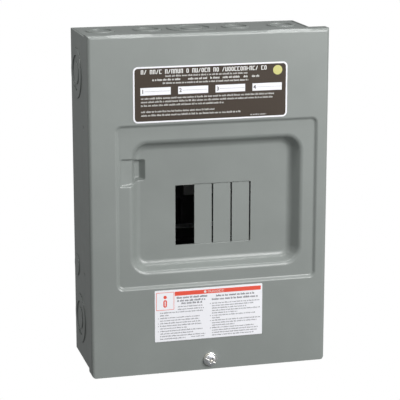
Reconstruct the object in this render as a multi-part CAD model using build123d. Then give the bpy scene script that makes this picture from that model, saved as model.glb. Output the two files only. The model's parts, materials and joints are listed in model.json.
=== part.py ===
from build123d import *
import os

# Residential load center: steel box, hook-on trim cover and four-space plug-on interior.
# Millimetres. Origin at the centre of the box's back face, +Z up, +X to the right as seen
# from the front, and the cover faces -Y.

# ---- driving dimensions -------------------------------------------------------------------
COVER_W, COVER_H = 238.0, 335.2
DEPTH = 105.8                # wall face to the cover's front
SHEET = 1.5                  # box and cover steel
SIDE_OVERHANG = 3.75         # cover past the box on each side
TOP_OVERHANG = 5.2
BOTTOM_SETBACK = 0.7         # cover's bottom edge above the box's bottom
COVER_FLANGE = 14.8
COVER_BEND_R = 3.4
CORNER_R = 4.4               # cover's lower corners
SPACE_PITCH = 19.05          # three-quarter-inch breaker module
SPACES = 4
GAP = 0.3                    # between faces of parts that move past each other

BOX_W = COVER_W - 2 * SIDE_OVERHANG
BOX_H = COVER_H - TOP_OVERHANG + BOTTOM_SETBACK
FRONT_Y = -DEPTH
BOX_FRONT_Y = FRONT_Y + SHEET + GAP
COVER_Z = (TOP_OVERHANG + BOTTOM_SETBACK) / 2   # cover's centre above the box's centre
COVER_TOP = COVER_Z + COVER_H / 2
COVER_BOTTOM = COVER_Z - COVER_H / 2
BOX_TOP = BOX_H / 2

# Dead front: shallow panel, then the deep recess that holds the breaker faces
PANEL_X, PANEL_Z, PANEL_W, PANEL_H = 7.6, COVER_Z + 0.4, 200.7, 162.0
PANEL_DEPTH, PANEL_RUN, PANEL_R = 2.2, 2.4, 6.0
RECESS_X, RECESS_Z, RECESS_W, RECESS_H = 7.6, COVER_Z - 0.4, 169.5, 127.6
RECESS_DEPTH, RECESS_RUN_X, RECESS_RUN_Z, RECESS_R = 12.3, 7.6, 4.8, 16.0
RIM_BEND_R, FLOOR_BEND_R, PANEL_BEND_R = 4.6, 6.5, 2.2
FLOOR_Y = FRONT_Y + PANEL_DEPTH + RECESS_DEPTH
PANEL = (PANEL_X, PANEL_Z, FRONT_Y, (PANEL_W, PANEL_H), PANEL_R, PANEL_DEPTH, (PANEL_RUN, PANEL_RUN))
RECESS = (
    RECESS_X, RECESS_Z, FRONT_Y + PANEL_DEPTH, (RECESS_W, RECESS_H), RECESS_R,
    RECESS_DEPTH, (RECESS_RUN_X, RECESS_RUN_Z),
)

# Breaker spaces
ROW_LEFT = -31.4
ROW_RIGHT = ROW_LEFT + SPACES * SPACE_PITCH
SLOT_LOW, SLOT_HIGH = COVER_Z - 42.2, COVER_Z + 17.7
SLIT = 1.2                   # between neighbouring twist-outs
TWIST_T = 1.3
TWIST_LEFT_IN, TWIST_RIGHT_IN = 0.1, 1.0   # each plate is pushed in at its right edge
TWIST_END_GAP = 0.2
SHEAR_BEVEL = 0.6            # rolled edge above and below each plate
TIE_W, TIE_GAP, TIE_INSET = 3.0, 0.08, 0.15

# Finger pocket at the left of the recess
POCKET_Z, POCKET_H = COVER_Z + 35.0, 27.0
POCKET_X0, POCKET_X1 = -88.6, -61.0
POCKET_SHELF_W, POCKET_SHELF_IN, POCKET_SHELF_OUT = 13.0, 2.2, 5.2
POCKET_DEPTH, POCKET_DRAFT = 17.6, 5.0
POCKET_R, LIP_BEND_R = 1.6, 1.2

# Cover fastening
HOOK_X, HOOK_W, HOOK_T, HOOK_DROP = 78.0, 24.0, 1.2, 5.0
HOOK_Y = FRONT_Y + COVER_FLANGE - HOOK_T / 2
HOOK_SLOT = 4.2
SCREW_Z = COVER_Z - 157.3
SCREW_R, SCREW_HEAD_R, SCREW_HEAD_H, SCREW_LEN = 2.4, 6.4, 4.0, 15.0
SCREW_CROWN = 0.85           # rounded part of the head's height
SCREW_SLOT_W, SCREW_SLOT_DEPTH = 1.4, 1.6
SCREW_CROSS_W, SCREW_CROSS_LEN, SCREW_CROSS_DEPTH = 1.6, 6.0, 2.2
SCREW_TURN = 28.0
WASHER_R, WASHER_T = 6.9, 1.0
SCOOP_W, SCOOP_DEPTH = 46.0, 0.8   # shallow scoops in the top bend, in front of the hooks

# Labels
LABEL_T = 0.25
DIRECTORY = (0.4, COVER_Z + 110.2, 152.0, 53.6, 4.5)
SAFETY = (-1.4, COVER_Z - 109.1, 109.2, 52.2, 0.8)

# Box details
BOX_BEND_R = 2.5
END_FLANGE = 12.0
LIP_H, LIP_W = 23.0, 64.0
SIDE_LIP = 4.5
KO_RINGS = (50.0, 34.9, 22.2)
KO_PAIR = (28.6, 22.2)
KO_SINGLE = (22.2,)
KO_GAP, KO_STEP, KO_TIE = 0.3, 0.95, 2.4
KO_TIE_REACH, KO_TIE_INSET, KO_BEVEL = 0.39, 0.04, 0.3
KO_TIE_TURN, KO_TIE_SHIFT = 35, 60    # degrees: the outer ring's ties, and from ring to ring
KO_END_X = (45.0, 92.0)
KO_END_Y = -33.8
KO_SIDE_Z, KO_SIDE_Y = 125.0, -31.0
KO_SMALL_Z, KO_SMALL_Y = -73.0, -17.0
KO_BACK = ((0.0, 128.0), (72.0, -114.0))
WALL_HOLE_X, WALL_HOLE_Z, WALL_HOLE_R = 80.0, 140.0, 3.4
SIDE_DIMPLES = ((-62.0, 76.0), (-55.0, -73.5))
DIMPLE_R, DIMPLE_FLAT_R, DIMPLE_DEPTH = 2.6, 1.2, 0.7
SIDE_PIN_HOLE = (-40.4, -148.0, 1.3)
PAD_H, PAD_R, PAD_TOP_R, PAD_HOLE_R = 4.0, 9.5, 6.5, 2.15

# Interior pan, insulating base and bus bars
PAN_T, PAN_FOOT, PAN_HOLE_PLAY = 1.5, 12.0, 0.4
PAN_PADS = 4                 # of the embossed pads, those under the pan
PAN_X0, PAN_X1 = -100.0, 78.0
PAN_Z0, PAN_Z1 = -92.0, 92.0
PAD_FACE_Y = -SHEET - PAD_H
PAN_TOP_Y = -19.0
BASE_X0, BASE_X1, BASE_Z0, BASE_Z1 = -40.0, 60.0, -34.0, 86.0
BASE_T, BASE_R = 10.0, 3.0
BASE_TOP_Y = PAN_TOP_Y - BASE_T
BAR_T = 2.4
BAR_FACE_Y = BASE_TOP_Y - BAR_T
BUS_W, BUS_OFFSET = 9.0, 10.0        # a bus bar's width, and from the stabs' middle to its edge
RISER_HALF, FINGER_HALF, FINGER_PAST = 6.0, 5.0, 7.0
STAB_Z, STAB_H, STAB_OUT, STAB_T, STAB_BEVEL = 15.0, 12.0, 14.0, 2.0, 0.6
RIB_T, RIB_OUT, RIB_TOP_Z = 1.6, 12.0, -8.0
RAIL_Z, RAIL_OUT, RAIL_T = SLOT_LOW - 14.0, 24.0, 1.5
RAIL_LIP, RAIL_FOOT, RAIL_PAST = 5.0, 12.0, 2.0

# Lugs and their set screws
LUG_W, LUG_H, LUG_D, LUG_R = 20.0, 22.0, 22.0, 4.0
LUG_BORE_R, LUG_BORE_BACK = 6.2, 1.0
NEUTRAL_LUG_W = LUG_W - 2
LUG_Z = 70.0
LUG_A_X, LUG_B_X = -26.0, 50.0
TANG_T, TANG_LEN, TANG_INSET = 3.5, 11.0, 3.0
SET_R, SET_LEN, SET_BEVEL, SET_CLEAR = 4.4, 12.0, 0.7, 0.4
SOCKET_R, SOCKET_DEPTH = 2.7, 5.0
SCREW_PLAY = 0.08            # between a screw's plain shank and its thread hole

# Neutral bar, bonding strap and ground bar
NEUTRAL_X, NEUTRAL_Z0, NEUTRAL_Z1 = -70.0, -70.0, 40.0
NEUTRAL_W, NEUTRAL_D, NEUTRAL_MARGIN = 12.0, 10.0, 6.0
NEUTRAL_BACK_Y = PAN_TOP_Y - 8.0
NEUTRAL_FACE_Y = NEUTRAL_BACK_Y - NEUTRAL_D
NEUTRAL_LUG_Y = NEUTRAL_BACK_Y - 4.0
STANDOFF, STANDOFF_H, STANDOFF_R, STANDOFF_IN = 18.0, 16.0, 2.0, 10.0
BOND_Z = NEUTRAL_Z0 - 14.0
STRAP_W, STRAP_T, STRAP_LEG, STRAP_PLAY = 10.0, 1.2, 6.0, 0.2
TERMINALS, TERMINAL_PITCH, WIRE_R, WIRE_BACK = 8, 12.5, 2.6, 1.0
GROUND_X0, GROUND_X1, GROUND_Z = -56.0, 40.0, -124.0
GROUND_TERMINALS, GROUND_HOLE_PLAY = 6, 0.1
GROUND_FACE_Y = PAD_FACE_Y - NEUTRAL_D
WIRING_LABEL = (-78.0, -18.0, -52.0, 92.0)      # depth and height ranges on the wall

# Pan-head screws: (head radius, shank radius) and lengths under the head
HEAD_HEIGHT, HEAD_CROWN, HEAD_SLOT_W, HEAD_ROOT = 0.62, 0.45, 0.9, 0.2
TANG_SCREW = (3.2, 1.6)
BINDING_SCREW, BINDING_HOLE_R = (3.9, 2.05), 2.1
BINDING_LEN = NEUTRAL_D / 2 - WIRE_BACK - WIRE_R - 0.2
PAD_SCREW, PAN_SCREW_LEN, GROUND_SCREW_LEN = (4.5, 2.1), 6.0, 13.5
BOND_SCREW, BOND_SCREW_LEN = (4.2, 2.1), 8.0


# ---- small helpers ------------------------------------------------------------------------
def block(x0, x1, y0, y1, z0, z1):
    """A box between two opposite corners."""
    size = Box(x1 - x0, y1 - y0, z1 - z0)
    return Pos((x0 + x1) / 2, (y0 + y1) / 2, (z0 + z1) / 2) * size


def wall(y, x=0.0, z=0.0):
    """A plane parallel to the front, facing +Y into the box, with its local Y along -Z."""
    return Plane(origin=(x, y, z), x_dir=(1, 0, 0), z_dir=(0, 1, 0))


def rod(x, z, y0, y1, radius):
    """A round bar along Y."""
    return wall(y0, x, z) * extrude(Circle(radius), y1 - y0)


def rod_z(x, y, z0, z1, radius):
    """A round bar along Z."""
    return Pos(x, y, z0) * extrude(Circle(radius), z1 - z0)


def rod_x(y, z, x0, x1, radius):
    """A round bar along X."""
    plane = Plane(origin=(x0, y, z), x_dir=(0, 1, 0), z_dir=(1, 0, 0))
    return plane * extrude(Circle(radius), x1 - x0)


def dish(x, z, y, size, corner, depth, run):
    """A stamped depression: size narrows by run on each side, and its corners by as much."""
    run_x, run_z = run
    deep = (size[0] - 2 * run_x, size[1] - 2 * run_z)
    deep_corner = corner - (run_x + run_z) / 2
    mouth = wall(y, x, z) * RectangleRounded(*size, corner)
    floor = wall(y + depth, x, z) * RectangleRounded(*deep, deep_corner)
    return loft([mouth.face(), floor.face()], ruled=True)


def profile_z(points, z0, z1):
    """A solid with the given XY outline between two heights."""
    return Pos(0, 0, z0) * extrude(make_face(Polyline(*points, close=True)), z1 - z0)


def edges_at(solid, axis, value, tolerance=0.02):
    """Edges that lie wholly at one value along an axis."""
    return solid.edges().filter_by_position(axis, value - tolerance, value + tolerance)


def save(node, *solids):
    """Write one node; several solids in a node are a group of like pieces."""
    shape = solids[0] if len(solids) == 1 else Compound(children=list(solids))
    export_step(shape, f"parts/{node}.step")


# ---- cover --------------------------------------------------------------------------------
def cover_pan():
    """The flanged front sheet before the dead front is stamped: flanges at top and sides."""
    half = COVER_W / 2
    outer = block(-half, half, FRONT_Y, FRONT_Y + COVER_FLANGE, COVER_BOTTOM, COVER_TOP)
    front = edges_at(outer, Axis.Y, FRONT_Y)
    bends = front.filter_by(Axis.Z) + front.filter_by(Axis.X).sort_by(Axis.Z)[-1:]
    outer = fillet(bends, COVER_BEND_R)
    for side in (-1, 1):
        outer -= corner_cut(side)
    inner = block(
        SHEET - half,
        half - SHEET,
        FRONT_Y + SHEET,
        FRONT_Y + COVER_FLANGE + 1,
        COVER_BOTTOM - 1,
        COVER_TOP - SHEET,
    )
    front = edges_at(inner, Axis.Y, FRONT_Y + SHEET)
    bends = front.filter_by(Axis.Z) + front.filter_by(Axis.X).sort_by(Axis.Z)[-1:]
    return outer - fillet(bends, COVER_BEND_R - SHEET)


def corner_cut(side):
    """Rounds one lower corner of the cover."""
    x, z = side * COVER_W / 2, COVER_BOTTOM
    x0, x1 = sorted((x + side, x - side * CORNER_R))
    square = block(x0, x1, FRONT_Y - 1, FRONT_Y + COVER_FLANGE + 1, z - 1, z + CORNER_R)
    centre_x, centre_z = x - side * CORNER_R, z + CORNER_R
    return square - rod(centre_x, centre_z, FRONT_Y - 2, FRONT_Y + COVER_FLANGE + 2, CORNER_R)


def skin_dish(x, z, y, size, corner, depth, run):
    """The back of the same depression, one sheet thickness outside its front."""
    grow = [SHEET * (side**2 + depth**2) ** 0.5 / depth for side in run]
    outer = (size[0] + 2 * grow[0], size[1] + 2 * grow[1])
    outer_corner = corner + (grow[0] + grow[1]) / 2
    deeper = 1 + SHEET / depth
    return dish(x, z, y, outer, outer_corner, depth * deeper, [side * deeper for side in run])


def pocket(grow):
    """The finger pocket: a shelf that falls to the right, then a well past the recess wall."""
    top = FRONT_Y + PANEL_DEPTH - 0.2
    deep = FRONT_Y + PANEL_DEPTH + POCKET_DEPTH
    shelf_end = POCKET_X0 + POCKET_SHELF_W
    across = [
        (POCKET_X0, top),
        (POCKET_X0 + POCKET_R, top + POCKET_SHELF_IN),
        (shelf_end, top + POCKET_SHELF_OUT),
        (shelf_end + POCKET_DRAFT, deep),
        (POCKET_X1 - POCKET_DRAFT, deep),
        (POCKET_X1, FLOOR_Y - 0.2),
        (POCKET_X1, top),
    ]
    low, high = POCKET_Z - POCKET_H / 2, POCKET_Z + POCKET_H / 2
    upright = [
        (top, low), (top, high), (deep, high - POCKET_DRAFT), (deep, low + POCKET_DRAFT)
    ]
    plan = make_face(Polyline(*across, close=True))
    side = Plane.YZ * make_face(Polyline(*upright, close=True))
    if grow:
        plan = offset(plan, grow, kind=Kind.INTERSECTION)
        side = offset(side, grow, kind=Kind.INTERSECTION)
    prism = Pos(0, 0, low - 2 * POCKET_DRAFT) * extrude(plan, POCKET_H + 4 * POCKET_DRAFT)
    slab = Pos(POCKET_X0 - 5, 0, 0) * extrude(side, POCKET_X1 - POCKET_X0 + 10)
    well = prism & slab
    if grow:
        ahead = block(POCKET_X0 - 9, POCKET_X1 + 9, FRONT_Y - 9, FRONT_Y + SHEET, low - 9, high + 9)
        return well - ahead
    inside = [e for e in well.edges() if e.bounding_box().max.Y > top + 0.1]
    return fillet(inside, POCKET_R)


def dead_front_tool():
    """What the stamping takes out of the cover's front."""
    rim_y = FRONT_Y + PANEL_DEPTH
    panel = fillet(edges_at(dish(*PANEL), Axis.Y, rim_y), PANEL_BEND_R)
    recess = fillet(edges_at(dish(*RECESS), Axis.Y, FLOOR_Y), FLOOR_BEND_R)
    return panel + recess + pocket(0)


def dead_front_skin():
    """The back of the stamping, before its front is taken out."""
    return skin_dish(*PANEL) + skin_dish(*RECESS) + pocket(SHEET)


def cover_hook(x):
    """A tongue bent down from the top flange's back edge, through the box's top slot."""
    back = FRONT_Y + COVER_FLANGE
    drop = BOX_TOP - SHEET - HOOK_DROP
    return block(x - HOOK_W / 2, x + HOOK_W / 2, back - HOOK_T, back, drop, COVER_TOP - SHEET)


def scoop(x):
    """A wide shallow cut across the cover's top bend."""
    radius = (SCOOP_W / 2) ** 2 / (2 * SCOOP_DEPTH)
    inward = COVER_BEND_R * (1 - 0.5**0.5)
    out = Vector(0, -1, 1).normalized()
    middle = Vector(x, FRONT_Y + inward, COVER_TOP - inward)
    plane = Plane(origin=middle + out * (radius - SCOOP_DEPTH), x_dir=(1, 0, 0), z_dir=(0, 1, 1))
    return plane * extrude(Circle(radius), 2 * COVER_BEND_R, both=True)


def shear_bevels():
    """The rolled edges of the opening above and below each plate."""
    cuts = []
    for space in range(2, SPACES + 1):
        x0, x1 = plate_span(space)
        for z, out in ((SLOT_LOW, -SHEAR_BEVEL), (SLOT_HIGH, SHEAR_BEVEL)):
            corner = Polyline(
                (x0, FLOOR_Y - 0.1, z), (x0, FLOOR_Y - 0.1, z + out), (x0, FLOOR_Y, z + out),
                (x0, FLOOR_Y + SHEAR_BEVEL, z), close=True,
            )
            cuts.append(extrude(make_face(corner), x1 - x0, dir=(1, 0, 0)))
    return cuts


def bend_edges(body, y, x, width, height):
    """The outline at depth y of a depression that is width across and height tall."""
    near = []
    for edge in edges_at(body, Axis.Y, y):
        middle = edge.center()
        inside = abs(middle.X - x) < width / 2 + 2 and abs(middle.Z - PANEL_Z) < height / 2 + 2
        if inside:
            near.append(edge)
    return near


def pocket_edges(body):
    """Every edge of the finger pocket, down to just past the recess floor."""
    low, high = POCKET_Z - POCKET_H / 2 - 1, POCKET_Z + POCKET_H / 2 + 1
    near = []
    for edge in body.edges():
        box = edge.bounding_box()
        across = box.min.X > POCKET_X0 - 1 and box.max.X < POCKET_X1 + 1
        upright = box.min.Z > low and box.max.Z < high
        if across and upright and box.max.Y < FLOOR_Y + 0.3 and edge.length > LIP_BEND_R / 2:
            near.append(edge)
    return near


def cover():
    """The whole stamped cover."""
    body = cover_pan() + dead_front_skin()
    body -= dead_front_tool()
    body = fillet(bend_edges(body, FRONT_Y + PANEL_DEPTH, RECESS_X, RECESS_W, RECESS_H), RIM_BEND_R)
    body = fillet(bend_edges(body, FRONT_Y, PANEL_X, PANEL_W, PANEL_H), PANEL_BEND_R)
    body = fillet(pocket_edges(body), LIP_BEND_R)
    body -= block(ROW_LEFT, ROW_RIGHT, FLOOR_Y - 1, FLOOR_Y + SHEET + 1, SLOT_LOW, SLOT_HIGH)
    for cut in shear_bevels():
        body -= cut
    body -= rod(0, SCREW_Z, FRONT_Y - 1, FRONT_Y + SHEET + 1, SCREW_R + 0.6)
    for x in (-HOOK_X, HOOK_X):
        body -= scoop(x)
        body += cover_hook(x)
    return body


def plate_span(space):
    """The left and right edges of the plate that closes a space."""
    left = ROW_LEFT + (space - 1) * SPACE_PITCH
    return left + TIE_GAP, left + SPACE_PITCH - SLIT


def twist_out(space):
    """A plate that closes one breaker space, held by a tie at its top and one at its bottom."""
    x0, x1 = plate_span(space)
    left, right = FLOOR_Y + TWIST_LEFT_IN, FLOOR_Y + TWIST_RIGHT_IN
    outline = [(x0, left), (x1, right), (x1, right + TWIST_T), (x0, left + TWIST_T)]
    plate = profile_z(outline, SLOT_LOW + TWIST_END_GAP, SLOT_HIGH - TWIST_END_GAP)
    middle, face = (x0 + x1) / 2, (left + right) / 2
    tie = block(middle - TIE_W / 2, middle + TIE_W / 2, face + TIE_INSET, face + TWIST_T - TIE_INSET,
                SLOT_LOW + TIE_GAP, SLOT_HIGH - TIE_GAP)
    return plate + tie


def label(spec, y):
    """A flat label with rounded corners whose back is at y."""
    x, z, width, height, radius = spec
    return wall(y - LABEL_T, x, z) * extrude(RectangleRounded(width, height, radius), LABEL_T)


def cover_screw():
    """Round-head machine screw with a slot and a cross recess."""
    seat = FRONT_Y - WASHER_T
    face = seat - SCREW_HEAD_H
    head = rod(0, SCREW_Z, face, seat, SCREW_HEAD_R)
    head = fillet(edges_at(head, Axis.Y, face), SCREW_HEAD_H * SCREW_CROWN)
    cuts = screw_cut(face, 3 * SCREW_HEAD_R, SCREW_SLOT_W, SCREW_SLOT_DEPTH)
    cuts += screw_cut(face, SCREW_CROSS_LEN, SCREW_CROSS_W, SCREW_CROSS_DEPTH)
    cuts += screw_cut(face, SCREW_CROSS_W, SCREW_CROSS_LEN, SCREW_CROSS_DEPTH)
    cuts = cuts.rotate(Axis((0, 0, SCREW_Z), (0, 1, 0)), SCREW_TURN)
    shank = rod(0, SCREW_Z, seat - 0.5, seat + SCREW_LEN, SCREW_R)
    shank = chamfer(edges_at(shank, Axis.Y, seat + SCREW_LEN), SCREW_R / 4)
    return head - cuts + shank


def screw_cut(face, length, width, depth):
    """A straight cut across the middle of the screw's head."""
    return block(-length / 2, length / 2, face - 1, face + depth,
                 SCREW_Z - width / 2, SCREW_Z + width / 2)


def cover_screw_washer():
    """Flat washer held on the screw."""
    ring = rod(0, SCREW_Z, FRONT_Y - WASHER_T + 0.02, FRONT_Y - 0.02, WASHER_R)
    return ring - rod(0, SCREW_Z, FRONT_Y - 2, FRONT_Y + 1, SCREW_R + 0.06)


# ---- knockouts ----------------------------------------------------------------------------
def knockout(plane, diameters, step):
    """Rings and centre disc that fill one knockout: every other one stepped, each tied twice."""
    solids = []
    for n, outer in enumerate(diameters):
        reach = outer / 2 - KO_GAP
        disc = extrude(Circle(reach), SHEET)
        disc = chamfer(disc.edges().group_by(Axis.Z)[-1], KO_BEVEL)
        if n + 1 < len(diameters):
            disc -= Pos(0, 0, -1) * extrude(Circle(diameters[n + 1] / 2), SHEET + 2)
        if n % 2 == 0:
            disc = Pos(0, 0, step) * disc
        thick = SHEET - KO_STEP - 2 * KO_TIE_INSET
        tie = Pos(reach, 0, (SHEET + step) / 2) * Box(KO_TIE_REACH, KO_TIE, thick)
        turn = KO_TIE_TURN + KO_TIE_SHIFT * n
        for angle in (turn, turn + 180):
            disc += Rot(0, 0, angle) * tie
        solids.append(plane * disc)
    return solids


def side_knockout_planes(side):
    """Planes on the inner face of a side wall, facing outwards, with each knockout's rings."""
    x = side * (BOX_W / 2 - SHEET)
    spots = ((KO_SIDE_Y, KO_SIDE_Z, KO_RINGS), (KO_SIDE_Y, -KO_SIDE_Z, KO_RINGS),
             (KO_SMALL_Y, KO_SMALL_Z, KO_SINGLE))
    return [(Plane(origin=(x, y, z), x_dir=(0, 1, 0), z_dir=(side, 0, 0)), r) for y, z, r in spots]


def end_knockout_planes(end):
    """Planes on the inner face of the top or bottom end, facing outwards."""
    z = end * (BOX_H / 2 - SHEET)
    spots = [(0.0, KO_RINGS)]
    spots += [(sign * x, KO_PAIR) for x in KO_END_X for sign in (-1, 1)]
    return [(Plane(origin=(x, KO_END_Y, z), x_dir=(1, 0, 0), z_dir=(0, 0, end)), r) for x, r in spots]


def back_knockout_planes():
    """Planes on the inner face of the back, facing the wall."""
    return [(wall(-SHEET, x, z), KO_PAIR) for x, z in KO_BACK]


def punch(sheet, planes):
    """Take the knockouts' outer circles out of a sheet."""
    for plane, rings in planes:
        sheet -= plane * Pos(0, 0, -2) * extrude(Circle(rings[0] / 2), SHEET + 4)
    return sheet


def knockout_group(planes, step):
    """All the knockout pieces of one face."""
    return [solid for plane, rings in planes for solid in knockout(plane, rings, step)]


def side_dimples(side):
    """Small round dents in a side wall, and the pin hole low down on it."""
    x = side * BOX_W / 2
    base = (Align.CENTER, Align.CENTER, Align.MIN)
    mouth = 2 * DIMPLE_R - DIMPLE_FLAT_R
    cuts = []
    for y, z in SIDE_DIMPLES:
        plane = Plane(origin=(x - side * DIMPLE_DEPTH, y, z), x_dir=(0, 1, 0), z_dir=(side, 0, 0))
        cuts.append(plane * Cone(DIMPLE_FLAT_R, mouth, 2 * DIMPLE_DEPTH, align=base))
    y, z, hole_r = SIDE_PIN_HOLE
    return cuts + [rod_x(y, z, x - 2 * SHEET, x + 2 * SHEET, hole_r)]


# ---- box ----------------------------------------------------------------------------------
def pad_spots():
    """Where the back is embossed forward to take a screw: the pan's feet and the ground bar."""
    left, right = PAN_X0 + PAN_FOOT / 2, PAN_X1 - PAN_FOOT / 2
    feet = [(x, z) for x in (left, right) for z in (-70.0, 70.0)]
    return feet + [(GROUND_X0 + 6, GROUND_Z), (GROUND_X1 - 6, GROUND_Z)]


def pad(x, z, y, grow):
    """The cone of an embossed pad, raised forward from y; grow widens it to the outer skin."""
    plane = Plane(origin=(x, y, z), x_dir=(1, 0, 0), z_dir=(0, -1, 0))
    base, tip = PAD_R + grow, PAD_TOP_R + grow
    return plane * Cone(base, tip, PAD_H, align=(Align.CENTER, Align.CENTER, Align.MIN))


def box_wrapper():
    """Back and both sides, folded from one sheet, with in-turned front lips on the sides."""
    half_w, half_h = BOX_W / 2, BOX_H / 2
    outer = block(-half_w, half_w, BOX_FRONT_Y, 0, -half_h, half_h)
    outer = fillet(outer.edges().filter_by(Axis.Z), BOX_BEND_R)
    inside = half_w - SHEET
    cavity = block(-inside, inside, BOX_FRONT_Y + SHEET, -SHEET, -half_h - 1, half_h + 1)
    cavity = fillet(cavity.edges().filter_by(Axis.Z), BOX_BEND_R - SHEET)
    mouth = inside - SIDE_LIP
    shell = outer - cavity
    shell -= block(-mouth, mouth, BOX_FRONT_Y - 1, BOX_FRONT_Y + SHEET + 1, -half_h - 1, half_h + 1)
    ends = half_h - END_FLANGE - 2
    for end in (-1, 1):
        low, high = sorted((end * ends, end * (half_h + 1)))
        shell -= block(-inside, inside, BOX_FRONT_Y - 1, BOX_FRONT_Y + 2 * SHEET, low, high)
    for x, z in pad_spots():
        shell += pad(x, z, -SHEET, SHEET * 0.8)
    for x, z in pad_spots():
        shell -= pad(x, z, 0, 0)
        shell -= rod(x, z, PAD_FACE_Y - 1, 1, PAD_HOLE_R)
    for x in (-WALL_HOLE_X, WALL_HOLE_X):
        for z in (-WALL_HOLE_Z, WALL_HOLE_Z):
            shell -= rod(x, z, -SHEET - 1, 1, WALL_HOLE_R)
    for cut in side_dimples(-1) + side_dimples(1):
        shell -= cut
    return punch(shell, side_knockout_planes(-1) + side_knockout_planes(1) + back_knockout_planes())


def box_end(end):
    """Top (end = 1) or bottom (end = -1): a shallow tray spot-welded inside the wrapper."""
    half_w, half_h = BOX_W / 2 - SHEET, BOX_H / 2
    low, high = sorted((end * (half_h - END_FLANGE), end * half_h))
    outer = block(-half_w, half_w, BOX_FRONT_Y, -SHEET, low, high)
    outer = fillet(outer.edges().filter_by(Axis.Z).sort_by(Axis.Y)[-2:], BOX_BEND_R - SHEET + 0.1)
    outer = fillet(edges_at(outer, Axis.Z, end * half_h), BOX_BEND_R)
    low, high = sorted((end * (half_h - END_FLANGE - 1), end * (half_h - SHEET)))
    cavity = block(SHEET - half_w, half_w - SHEET, BOX_FRONT_Y + SHEET, -2 * SHEET, low, high)
    tray = outer - cavity
    tray = punch(tray, end_knockout_planes(end))
    if end > 0:
        for x in (-HOOK_X, HOOK_X):
            half = HOOK_W / 2 + 1.5
            y0, y1 = HOOK_Y - HOOK_SLOT / 2, HOOK_Y + HOOK_SLOT / 2
            tray -= block(x - half, x + half, y0, y1, half_h - END_FLANGE - 1, half_h + 1)
    else:
        top = -half_h + LIP_H
        tray += block(
            -LIP_W / 2, LIP_W / 2, BOX_FRONT_Y, BOX_FRONT_Y + SHEET, END_FLANGE - half_h - 1, top
        )
        tray -= rod(0, SCREW_Z, BOX_FRONT_Y - 1, BOX_FRONT_Y + SHEET + 1, SCREW_R + 0.5)
    return tray


# ---- interior -----------------------------------------------------------------------------
def interior_pan():
    """Hat-shaped mounting pan: two feet on the box's pads and a raised platform."""
    foot, top = PAD_FACE_Y - PAN_T, PAN_TOP_Y
    left, right = PAN_X0 + PAN_FOOT, PAN_X1 - PAN_FOOT
    outline = [
        (PAN_X0, PAD_FACE_Y),
        (PAN_X0, foot),
        (left - PAN_T, foot),
        (left - PAN_T, top),
        (right + PAN_T, top),
        (right + PAN_T, foot),
        (PAN_X1, foot),
        (PAN_X1, PAD_FACE_Y),
        (right, PAD_FACE_Y),
        (right, top + PAN_T),
        (left, top + PAN_T),
        (left, PAD_FACE_Y),
    ]
    pan = profile_z(outline, PAN_Z0, PAN_Z1)
    for x, z in pad_spots()[:PAN_PADS]:
        pan -= rod(x, z, foot - 1, 0, PAD_HOLE_R + PAN_HOLE_PLAY)
    pan -= rod(NEUTRAL_X, BOND_Z, top - 1, top + PAN_T + 1, PAD_HOLE_R)
    return pan


def stab_x(space):
    """The middle of a breaker space."""
    return ROW_LEFT + (space - 0.5) * SPACE_PITCH


def bus_base():
    """Moulded insulating base with ribs between the breaker feet and a barrier between the lugs."""
    base = block(BASE_X0, BASE_X1, BASE_TOP_Y, PAN_TOP_Y, BASE_Z0, BASE_Z1)
    base = fillet(base.edges().filter_by(Axis.Y), BASE_R)
    for border in range(1, SPACES):
        x = ROW_LEFT + border * SPACE_PITCH
        base += block(x - RIB_T / 2, x + RIB_T / 2, BASE_TOP_Y - RIB_OUT, BASE_TOP_Y,
                      BASE_Z0 + BASE_R, RIB_TOP_Z)
    middle = (LUG_A_X + LUG_B_X) / 2
    base += block(middle - RIB_T, middle + RIB_T, BASE_TOP_Y - LUG_D, BASE_TOP_Y,
                  LUG_Z - LUG_H, BASE_Z1 - BASE_R)
    return base


def stab(space):
    """A plug-on blade standing out from the bus."""
    x = stab_x(space)
    out = BAR_FACE_Y - STAB_OUT
    blade = block(
        x - STAB_T / 2, x + STAB_T / 2, out, BAR_FACE_Y, STAB_Z - STAB_H / 2, STAB_Z + STAB_H / 2
    )
    return chamfer(edges_at(blade, Axis.Y, out).filter_by(Axis.Z), STAB_BEVEL)


def bus_strip(x0, x1, z0, z1):
    """A flat length of bus bar lying on the base."""
    return block(x0, x1, BAR_FACE_Y, BASE_TOP_Y, z0, z1)


def bus_bar_a():
    """Feeds spaces 1 and 3 from above the stabs; its riser runs up to the left lug."""
    low = STAB_Z + BUS_OFFSET
    bar = bus_strip(LUG_A_X - RISER_HALF, stab_x(3) + FINGER_HALF, low, low + BUS_W)
    bar += bus_strip(LUG_A_X - RISER_HALF, LUG_A_X + RISER_HALF, low, LUG_Z + LUG_H / 2)
    for space in (1, 3):
        x = stab_x(space)
        bar += bus_strip(x - FINGER_HALF, x + FINGER_HALF, STAB_Z - FINGER_PAST, low)
        bar += stab(space)
    return bar


def bus_bar_b():
    """Feeds spaces 2 and 4 from below the stabs; its riser runs up to the right lug."""
    high = STAB_Z - BUS_OFFSET
    bar = bus_strip(stab_x(2) - FINGER_HALF, LUG_B_X + FINGER_HALF, high - BUS_W, high)
    bar += bus_strip(LUG_B_X - FINGER_HALF, LUG_B_X + FINGER_HALF, high - BUS_W, LUG_Z + LUG_H / 2)
    for space in (2, 4):
        x = stab_x(space)
        bar += bus_strip(x - FINGER_HALF, x + FINGER_HALF, high, STAB_Z + FINGER_PAST)
        bar += stab(space)
    return bar


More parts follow.
